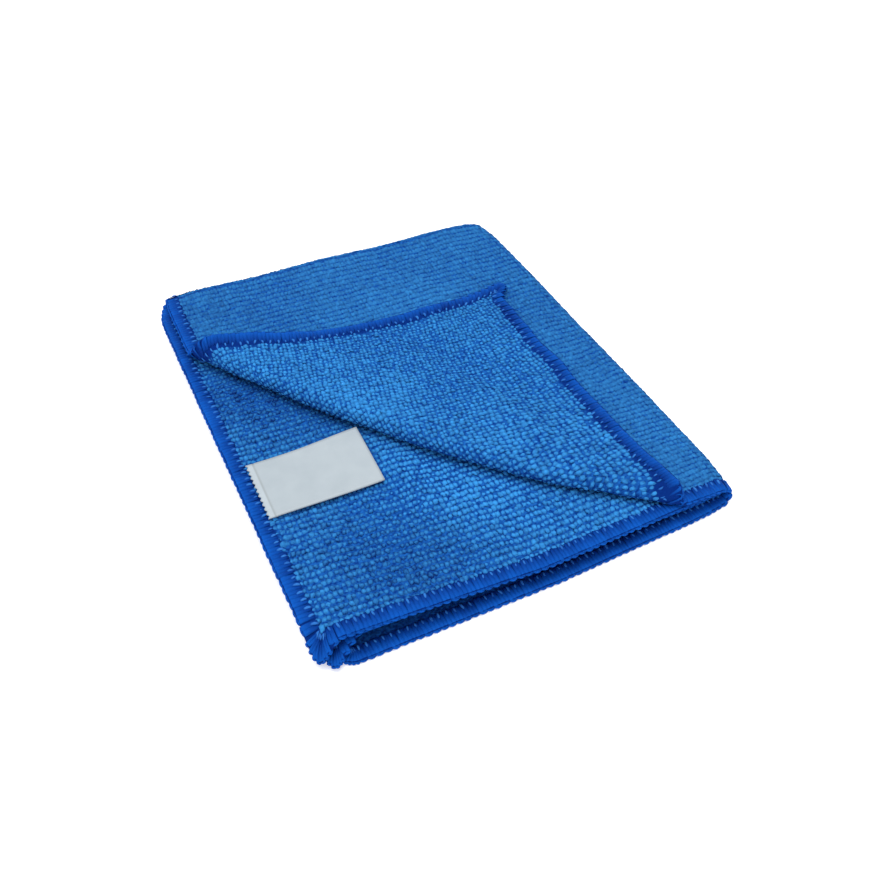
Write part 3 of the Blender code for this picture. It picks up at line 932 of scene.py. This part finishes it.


# soft spots where the loops are made darker or lighter (mm); the dark ones on the second layer
# along under the rolled corner are painted shadow of the roll
ToneAndShadowSpot = namedtuple("ToneAndShadowSpot", "part x y reach tone")
toneAndShadowSpots = (
    # painted shadow of the roll, on the second layer along under the rolled corner
    ToneAndShadowSpot("second", -64, 36, 20, -0.30),
    ToneAndShadowSpot("second", -62, 8, 28, -0.26),
    ToneAndShadowSpot("second", -34, 6, 16, -0.18),
    ToneAndShadowSpot("second", -2, -24, 14, -0.14),
    ToneAndShadowSpot("second", 28, -52, 12, -0.14),
    ToneAndShadowSpot("second", -56, -58, 26, -0.22),
    ToneAndShadowSpot("second", -36, -86, 24, -0.30),
    ToneAndShadowSpot("second", -10, -44, 26, 0.22),
    ToneAndShadowSpot("flap", 44, 42, 24, -0.10),
    ToneAndShadowSpot("flap", 36, -30, 16, -0.06),
    ToneAndShadowSpot("top", -62, 80, 15, -0.10),
    ToneAndShadowSpot("top", 70, -60, 16, 0.05),
)


def layTone(part, point):
    return sum(patchSpot.tone * exp(-(hypot(point.x / mm - patchSpot.x, point.y / mm - patchSpot.y)
                                / patchSpot.reach) ** 2)
               for patchSpot in toneAndShadowSpots if patchSpot.part == part)


# how the rows of loops run: noise steps are per metre
rowValues = {
    "hemGap": 0.5 * mm,         # between the hem and the middle of the first loops
    "foldBand": 3.2 * mm,       # how far they go round the folds
    "closeFrom": 4.5 * mm,      # before the back fold, closer rows follow its bend
    "closeShare": 0.45,
    "wave": (110, 25),
    "ripple": (260, 1),
    "rippleShare": 0.4,
    "slip": (20, 60),
    "slipReach": 0.4 * mm,
    "patch": (30, 30),
    "patchTone": 0.3,
    "stepStretch": (0.8, 1.7),
    "loopStretch": (0.8, 1.35),
}


def drift(u, v, steps, seed):
    return noise.noise((u * steps[0], v * steps[1], seed))


def terryPlaces(part, values, uRange, vRange, side, wanted, lift):
    # rows along the cloth; in a row the step follows the cloth's stretch, to stay even
    places = []
    edge = sheet["hemWidth"] + rowValues["hemGap"]
    uLow, uHigh = max(uRange[0], -halfWidth + edge), min(uRange[1], halfWidth - edge)
    v, row = vRange[0], 0
    while v < vRange[1]:
        stretch = mix(1, values.pitchAtFold / values.pitchAlong, 1 - clamp(abs(v) / halfDepth))
        if v > -rowValues["closeFrom"] and side > 0:
            stretch *= rowValues["closeShare"]
        u = uLow
        while u < uHigh:
            step = values.pitchAcross * mm
            weight = wanted(u, v)
            if weight > 0:
                wander = (drift(u, v, rowValues["wave"], side + 3)
                          + rowValues["rippleShare"] * drift(u, row, rowValues["ripple"], side))
                slip = drift(u, v, rowValues["slip"], side + 8) * rowValues["slipReach"]
                lie = surfaceFrame(u + slip, v + wander * values.wander * mm)
                patch = drift(u, v, rowValues["patch"], side + 4) * values.merge
                # random patches, plus the listed spots, some of which are painted shadow of the
                # roll
                tone = patch * rowValues["patchTone"] + layTone(part, lie.point)
                loopStretch = clamp(lie.alongStretch, *rowValues["loopStretch"])
                places.append(Place(lie.point + lie.out * side * lift, lie.out * side,
                                    lie.alongWay, weight * (1 + patch), stretch * loopStretch,
                                    tone))
                step /= clamp(lie.acrossStretch, *rowValues["stepStretch"])
            u += step
        v += values.pitchAlong * stretch * mm
        row += 1
    return places


def terrySizes(values):
    return {"Width": values.width * values.pitchAcross * mm,
            "Length": values.length * values.pitchAlong * mm,
            "Height": values.height * mm, "Size Spread": values.size,
            "Turn Spread": values.turn, "Lean Spread": values.lean,
            "Place Spread": values.place * mm, "Tone Spread": values.tone,
            "Seed": values.seed}


# where loops start and end, in the roll's radii past its start, and how large they are on the flap
loopReach = {
    "topEnd": 1.5,
    "flapStart": 0.2,
    "flapSizes": (0.9, 1.06),
    "flapSizeReach": 55 * mm,
    "rollSize": 0.72,
    "rollSizeFrom": 0.8,
    "rollSizeOver": 1.6,
    "secondUnderRoll": 16 * mm,
}


def onOuterTop(u, v):
    # outer face of layer 1 up to the roll, and round the back fold
    place = onTopLayer(u, v)
    if place is None:
        return 1
    past, radius = pastRoll(*place)
    return 1 if past < loopReach["topEnd"] * radius else 0


def onFlap(u, v):
    place = onTopLayer(u, v)
    if place is None:
        return 0
    past, radius = pastRoll(*place)
    if past < loopReach["flapStart"] * radius:
        return 0
    size = mix(*loopReach["flapSizes"], smooth(1 - past / loopReach["flapSizeReach"]))
    fromRoll = past - loopReach["rollSizeFrom"] * radius
    return size * mix(loopReach["rollSize"], 1,
                      smooth(fromRoll / (loopReach["rollSizeOver"] * radius)))


def onSecondLayer(u, v):
    # inner face of layer 2 as far as a little under the roll
    if u > -sideBend or v < backBend:
        return 0
    x, y, level = foldInQuarters(u, v)
    share, beyond = turnPlace(x, y)
    return 1 if beyond > turnBulge(share) - loopReach["secondUnderRoll"] else 0


def everywhere(u, v):
    return 1


tufts = shapesFrom("tuft", [makeTuft(kind) for kind in range(tuftShape["kinds"])])
outerTerry = makeYarn("terry outer face")
innerTerry = makeYarn("terry inner face")
foldBand = rowValues["foldBand"]
hemInside = halfDepth - sheet["hemWidth"] - rowValues["hemGap"]
# name, part, flat range across and along, face, where loops are wanted, finish
terryParts = (
    ("terry-top", "top", (-halfWidth, 0.9 * mm), (-hemInside, foldBand), 1, onOuterTop,
     outerTerry),
    ("terry-flap", "flap", (-halfWidth, 0), (-hemInside, 0), -1, onFlap, innerTerry),
    ("terry-second-layer", "second", (-halfWidth, 0), (0, hemInside), -1, onSecondLayer,
     innerTerry),
    ("terry-under", "under", (1.0 * mm, halfWidth), (-hemInside, foldBand), 1, everywhere,
     outerTerry),
)
terryPieces = []
for name, part, uRange, vRange, side, wanted, finish in terryParts:
    values = terryValues[part]
    places = terryPlaces(part, values, uRange, vRange, side, wanted,
                         clothValues["groundThickness"] / 2)
    terryPieces.append(repeatOnSurface(name, places, tufts, finish, terrySizes(values)))
dropShapes(tufts)

# overlocked hem: two legs of thread a stitch wrap the edge, a chain lies along it, and the
# needle thread shows as short dashes on the inner line
hemValues = {
    "pitchEnds": 2.9 * mm,       # along the two ends
    "pitchSides": 3.35 * mm,     # along the two long sides
    "basePitch": 2.9 * mm,
    "cornerSteps": 7,
    "cornerStretch": 0.55,
    "dashInset": 4.25 * mm,
    "dashLift": 0.80 * mm,
    "threadSides": 6,
    "frameReach": 3.2 * mm,      # how far inside the edge its direction is taken
    "frameStep": 0.3 * mm,
    "wobbleSteps": (90, 90),     # noise steps per metre, and what it does to size and tone
    "wobbleSize": 0.05,
    "wobbleTone": 0.12,
    "stitch": {"Width": 1.0, "Length": 1.0, "Height": 1.0, "Size Spread": 0.04,
               "Turn Spread": 0.05, "Lean Spread": 0.03, "Place Spread": 0.08 * mm,
               "Tone Spread": 0.10, "Seed": 11},
    "dash": {"Width": 1.0, "Length": 1.0, "Height": 1.0, "Size Spread": 0.22,
             "Turn Spread": 0.30, "Lean Spread": 0.08, "Place Spread": 0.15 * mm,
             "Tone Spread": 0.25, "Seed": 13},
}

# a thread's path in the edge's own frame (mm): out of the cloth, along the edge, up; its shade runs
# from 0, painted shade where the thread sinks into the cloth, to 1, painted highlight where it
# stands out
ThreadPoint = namedtuple("ThreadPoint", "out along up wide thick shade")
legAbove = (
    ThreadPoint(-5.60, 0.60, 0.52, 0.52, 0.16, 0.00),
    ThreadPoint(-4.70, 0.64, 0.74, 0.72, 0.18, 0.15),
    ThreadPoint(-3.20, 0.69, 0.84, 0.84, 0.16, 0.40),
    ThreadPoint(-1.60, 0.72, 0.84, 0.92, 0.15, 0.70),
    ThreadPoint(-0.45, 0.73, 0.68, 0.94, 0.18, 1.00),
)
legBelow = tuple(row._replace(up=-row.up) for row in reversed(legAbove))
legPath = (*legAbove, ThreadPoint(0.15, 0.74, 0.00, 0.92, 0.22, 0.70), *legBelow)
edgePath = (
    ThreadPoint(0.00, -1.30, 0.30, 0.22, 0.22, 0.70),
    ThreadPoint(0.16, -0.55, 0.34, 0.38, 0.34, 0.90),
    ThreadPoint(0.22, 0.20, 0.26, 0.42, 0.38, 1.00),
    ThreadPoint(0.14, 0.95, 0.02, 0.34, 0.32, 0.90),
    ThreadPoint(0.00, 1.55, -0.20, 0.20, 0.20, 0.70),
)
dashPath = (
    ThreadPoint(-1.15, 0.05, -0.16, 0.20, 0.16, 0.20),
    ThreadPoint(-0.60, 0.00, 0.10, 0.36, 0.24, 0.80),
    ThreadPoint(0.00, -0.04, 0.18, 0.40, 0.26, 1.00),
    ThreadPoint(0.65, 0.00, 0.10, 0.34, 0.22, 0.70),
    ThreadPoint(1.20, 0.08, -0.14, 0.20, 0.14, 0.10),
)


def addThread(mesh, path, mirror=1):
    # a closed tube along the path, wider than thick
    rise = mesh.verts.layers.float.get("rise") or mesh.verts.layers.float.new("rise")
    local = (mesh.verts.layers.float_vector.get("local")
             or mesh.verts.layers.float_vector.new("local"))
    points = [Vector((row.out, row.along * mirror, row.up)) for row in path]
    sides = hemValues["threadSides"]
    rings = []
    travelled = 0.0
    for k, (row, point) in enumerate(zip(path, points)):
        before, after = points[max(k - 1, 0)], points[min(k + 1, len(points) - 1)]
        way = (after - before).normalized()
        flatWay = Vector((0, 1, 0)) if abs(way.y) < 0.7 else Vector((1, 0, 0))
        flatWay = (flatWay - way * flatWay.dot(way)).normalized()
        upWay = way.cross(flatWay)
        travelled += (point - before).length
        ring = []
        for step in range(sides):
            angle = 2 * pi * (step + 0.5) / sides
            offset = flatWay * (cos(angle) * row.wide) + upWay * (sin(angle) * row.thick)
            vert = mesh.verts.new((point + offset) * mm)
            # painted shade at the thread's sunk ends, painted highlight where it stands out
            vert[rise] = row.shade
            vert[local] = (travelled, cos(angle) * row.wide, sin(angle) * row.thick + mirror)
            ring.append(vert)
        rings.append(ring)
    for low, high in zip(rings, rings[1:]):
        for k in range(sides):
            mesh.faces.new((low[k], low[(k + 1) % sides], high[(k + 1) % sides], high[k]))
    mesh.faces.new(rings[0][::-1])
    mesh.faces.new(rings[-1])


def makeStitch():
    mesh = bmesh.new()
    addThread(mesh, legPath)
    addThread(mesh, legPath, mirror=-1)
    addThread(mesh, edgePath)
    return mesh


def makeDash():
    mesh = bmesh.new()
    addThread(mesh, dashPath)
    return mesh


def hemStations(inset):
    # flat places round the hem, with the way out of the cloth; the corners are rounded
    wide, deep = halfWidth - inset, halfDepth - inset
    radius = max(sheet["cornerRadius"] - inset, 0.3 * mm)
    centres = [Vector((signX * (wide - radius), signY * (deep - radius)))
               for signX, signY in ((1, 1), (-1, 1), (-1, -1), (1, -1))]
    stations = []
    for index, centre in enumerate(centres):
        steps = hemValues["cornerSteps"]
        for k in range(steps):
            at = pi / 2 * (index + (k + 0.5) / steps)
            out = Vector((cos(at), sin(at)))
            stations.append((centre + out * radius, out, hemValues["cornerStretch"]))
        way = centres[(index + 1) % 4] - centre
        out = Vector((way.y, -way.x)).normalized()
        pitch = hemValues["pitchEnds" if abs(way.x) > abs(way.y) else "pitchSides"]
        steps = round(way.length / pitch)
        for k in range(steps):
            stations.append((centre + out * radius + way * ((k + 0.5) / steps), out,
                             pitch / hemValues["basePitch"]))
    return stations


def hemPoint(flat):
    # as foldedPoint, for a place already inside the rounded corner
    return foldedPoint(*cornerMoved(flat.x, flat.y, outwards=True))


def hemPlaces(inset, side, lift=0.0):
    places = []
    for flat, out, stretch in hemStations(inset):
        inner = flat - out * hemValues["frameReach"]
        sideStep = Vector((-out.y, out.x)) * hemValues["frameStep"]
        end = hemPoint(flat)
        outWay = (end - hemPoint(inner)).normalized()
        alongWay = (hemPoint(inner + sideStep) - hemPoint(inner - sideStep)).normalized()
        normal = outWay.cross(alongWay).normalized()
        sideWay = normal.cross(outWay)
        wobble = drift(flat.x, flat.y, hemValues["wobbleSteps"], 2.0 + side)
        places.append(Place(end + normal * side * lift, normal * side, sideWay * side,
                            1 + hemValues["wobbleSize"] * wobble, stretch,
                            hemValues["wobbleTone"] * wobble))
    return places


stitches = shapesFrom("stitch", [makeStitch()])
dashes = shapesFrom("dash", [makeDash()])
hemThread = repeatOnSurface("hem-overlock", hemPlaces(0.0, 1), stitches,
                            makeYarn("overlock thread"), hemValues["stitch"])
dashPlaces = [place for side in (1, -1)
              for place in hemPlaces(hemValues["dashInset"], side, hemValues["dashLift"])]
hemDashes = repeatOnSurface("hem-dashes", dashPlaces, dashes, makeYarn("needle thread"),
                            hemValues["dash"])
dropShapes(stitches)
dropShapes(dashes)

# ribbon sewn to the left hem of layer 2, its free end a little raised
labelValues = {
    "length": 43.4 * mm,
    "width": 28.0 * mm,
    "thickness": 0.45 * mm,
    "x": -75.4 * mm,
    "y": -26.8 * mm,
    "turn": -0.012,
    "gap": 0.55 * mm,
    "lift": 1.7 * mm,
    "tilt": 2.0 * mm,
    "arch": 0.35 * mm,
    "cells": 44,
    "hemHeight": 0.9 * mm,       # of the hem it is sewn to, over the layer's middle
    "wave": 0.10 * mm,
    "waveTurns": (7, 3),         # along and across the ribbon (radians)
    "foldLine": 2.7 * mm,
    "foldDepth": 0.18 * mm,
    "foldHalf": 0.45 * mm,
    "lightSide": (0.410, 0.469, 0.510, 1),
    "darkSide": (0.375, 0.433, 0.475, 1),
    "sewnReach": 4.0,            # mm from the end, over which the shades below run
    # the darker stop at 0.68 is painted shade in the crease at the fold line
    "sewnEndAndCreaseShade": ((0.0, 1.00, 1.00, 1.00), (0.55, 1.00, 1.00, 1.00), (0.68, 0.72, 0.71, 0.69),
                   (0.86, 0.90, 0.90, 0.90), (1.0, 0.90, 0.90, 0.90)),
    "teeth": 12,
    "toothDepth": 0.8 * mm,
}


def makeRibbon():
    material, tree, shader = newMaterial("satin ribbon", 0.42, 0.4)
    shader.inputs["Sheen Weight"].default_value = 0.15
    flat = addNode(tree, "ShaderNodeUVMap", uv_map="flat").outputs["UV"]
    warp = addNode(tree, "ShaderNodeTexWave",
                   {"Vector": flat, "Scale": 0.9, "Distortion": 0.3, "Detail": 1.0,
                    "Detail Scale": 4.0}, bands_direction="Y")
    weft = addNode(tree, "ShaderNodeTexWave", {"Vector": flat, "Scale": 0.7, "Distortion": 0.3},
                   bands_direction="X")
    cloud = addNode(tree, "ShaderNodeTexNoise", {"Vector": flat, "Scale": 0.12, "Detail": 3.0})
    height = maths(tree, "ADD", warp.outputs["Fac"], weft.outputs["Fac"])
    tone = addNode(tree, "ShaderNodeMapRange",
                   {"Value": cloud.outputs["Fac"], "From Min": 0.3, "From Max": 0.7})
    colour = mixedColour(tree, tone.outputs[0], labelValues["darkSide"], labelValues["lightSide"])
    # the sewn end is a little whiter as far as the soft line where it folds, and a darker band
    # along that line is painted shade in the crease
    place = addNode(tree, "ShaderNodeSeparateXYZ", {0: flat})
    sewn = addNode(tree, "ShaderNodeMapRange",
                   {"Value": place.outputs["X"], "From Max": labelValues["sewnReach"]})
    shade = addNode(tree, "ShaderNodeValToRGB", {"Fac": sewn.outputs[0]})
    stops = shade.color_ramp.elements
    for spot, *tint in labelValues["sewnEndAndCreaseShade"]:
        stop = stops[0] if spot == 0 else stops[-1] if spot == 1 else stops.new(spot)
        stop.color = (*tint, 1)
    colour = mixedColour(tree, 1.0, colour, shade.outputs["Color"], blend="MULTIPLY")
    dress(tree, shader, colour, height, 0.15, 0.05 * mm)
    return material


def labelPoint(out, side):
    # out from 0 at the sewn end to 1, side from -0.5 to 0.5
    values = labelValues
    reach, half = out * values["length"], side * values["width"]
    x = values["x"] + reach * cos(values["turn"]) - half * sin(values["turn"])
    y = values["y"] + reach * sin(values["turn"]) + half * cos(values["turn"])
    height = layerHeight(layers[2], x, y) + swellHeight(x, y, layers[2].level)
    lift = values["lift"] * out ** 2
    tilt = values["tilt"] * side * smooth(out)
    arch = values["arch"] * smooth(0.5 - side) * sin(pi * clamp(out))
    crease = values["foldDepth"] * exp(-((reach - values["foldLine"]) / values["foldHalf"]) ** 2)
    wave = values["wave"] * sin(out * values["waveTurns"][0] + side * values["waveTurns"][1])
    base = values["hemHeight"] + values["gap"] + values["thickness"] / 2
    return Vector((x, y, height + base + lift + tilt + arch - crease + wave)) + sheet["shift"]


def makeLabel():
    mesh = bmesh.new()
    uvLayer = mesh.loops.layers.uv.new("flat")
    cells, rows = labelValues["cells"], 2 * labelValues["teeth"]
    flats = {}
    grid = []
    for k in range(rows + 1):
        side = k / rows - 0.5
        tooth = labelValues["toothDepth"] / labelValues["length"] if k % 2 else 0.0
        line = []
        for cell in range(cells + 1):
            out = cell / cells
            out += tooth * (1 - out) ** 8
            vert = mesh.verts.new(labelPoint(out, side))
            flats[vert] = (out * labelValues["length"] / mm, side * labelValues["width"] / mm)
            line.append(vert)
        grid.append(line)
    for face in fillGrid(mesh, grid):
        face.smooth = True
        for loop in face.loops:
            loop[uvLayer].uv = flats[loop.vert]
    data = bpy.data.meshes.new("label")
    mesh.to_mesh(data)
    mesh.free()
    piece = pieceFrom("label-ribbon", data, makeRibbon())
    thicken(piece, labelValues["thickness"])
    return piece


label = makeLabel()
print("label:", len(label.data.polygons), "faces")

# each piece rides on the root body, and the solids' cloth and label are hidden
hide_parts("cloth")
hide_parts("label")
clothPieces = [cloth, *terryPieces, hemThread, hemDashes]
for piece in clothPieces + [label]:
    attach(piece, "root")

# pale floor, soft light
studio = {
    "floorColour": (0.96, 0.96, 0.96, 1),
    "floorGlow": 0.35,
    "worldStrength": 0.68,
    "keyPower": 6.2,
    "keyPlace": (-0.06, 0.06, 0.85),
    "keySize": 0.8,
    "fillPower": 1.5,
    "fillPlace": (-0.40, -0.62, 0.55),
    "fillSize": 0.9,
}


def makeFloor():
    mesh = bmesh.new()
    bmesh.ops.create_grid(mesh, x_segments=1, y_segments=1, size=6)
    bmesh.ops.translate(mesh, verts=mesh.verts, vec=(0, 0, -0.05 * mm))
    data = bpy.data.meshes.new("floor")
    mesh.to_mesh(data)
    mesh.free()
    material, tree, shader = newMaterial("floor", 0.9)
    shader.inputs["Base Color"].default_value = studio["floorColour"]
    shader.inputs["Emission Color"].default_value = studio["floorColour"]
    shader.inputs["Emission Strength"].default_value = studio["floorGlow"]
    floor = pieceFrom("floor", data, material)


def makeLight(name, place, power, size):
    data = bpy.data.lights.new(name, "AREA")
    data.energy = power
    data.size = size
    light = bpy.data.objects.new(name, data)
    light.location = place
    light.rotation_euler = (-Vector(place)).to_track_quat("-Z", "Y").to_euler()
    bpy.context.scene.collection.objects.link(light)


makeFloor()
makeLight("key", studio["keyPlace"], studio["keyPower"], studio["keySize"])
makeLight("fill", studio["fillPlace"], studio["fillPower"], studio["fillSize"])
world = bpy.data.worlds.new("studio")
world.use_nodes = True
background = world.node_tree.nodes["Background"]
background.inputs["Color"].default_value = (1, 1, 1, 1)
background.inputs["Strength"].default_value = studio["worldStrength"]
bpy.context.scene.world = world
bpy.context.scene.view_settings.view_transform = "Standard"

cameraValues = {
    "lens": 39.13,
    "turn": radians(-24.895),
    "tilt": radians(43.817),
    "roll": radians(-0.797),
    "place": Vector((-113.799, -260.124, 255.906)) * mm,
}


def makeCamera():
    turnBy, tiltBy, rollBy = (cameraValues[key] for key in ("turn", "tilt", "roll"))
    back = Vector((sin(turnBy) * cos(tiltBy), -cos(turnBy) * cos(tiltBy), sin(tiltBy)))
    right = Vector((cos(turnBy), sin(turnBy), 0))
    up = back.cross(right)
    rolledRight = right * cos(rollBy) + up * sin(rollBy)
    rolledUp = up * cos(rollBy) - right * sin(rollBy)
    facing = Matrix((rolledRight, rolledUp, back)).transposed().to_4x4()
    data = bpy.data.cameras.new("camera")
    data.lens = cameraValues["lens"]
    data.sensor_width = 36
    data.clip_start = 0.01
    camera = bpy.data.objects.new("camera", data)
    camera.matrix_world = Matrix.Translation(cameraValues["place"] + sheet["shift"]) @ facing
    bpy.context.scene.collection.objects.link(camera)
    bpy.context.scene.camera = camera


makeCamera()
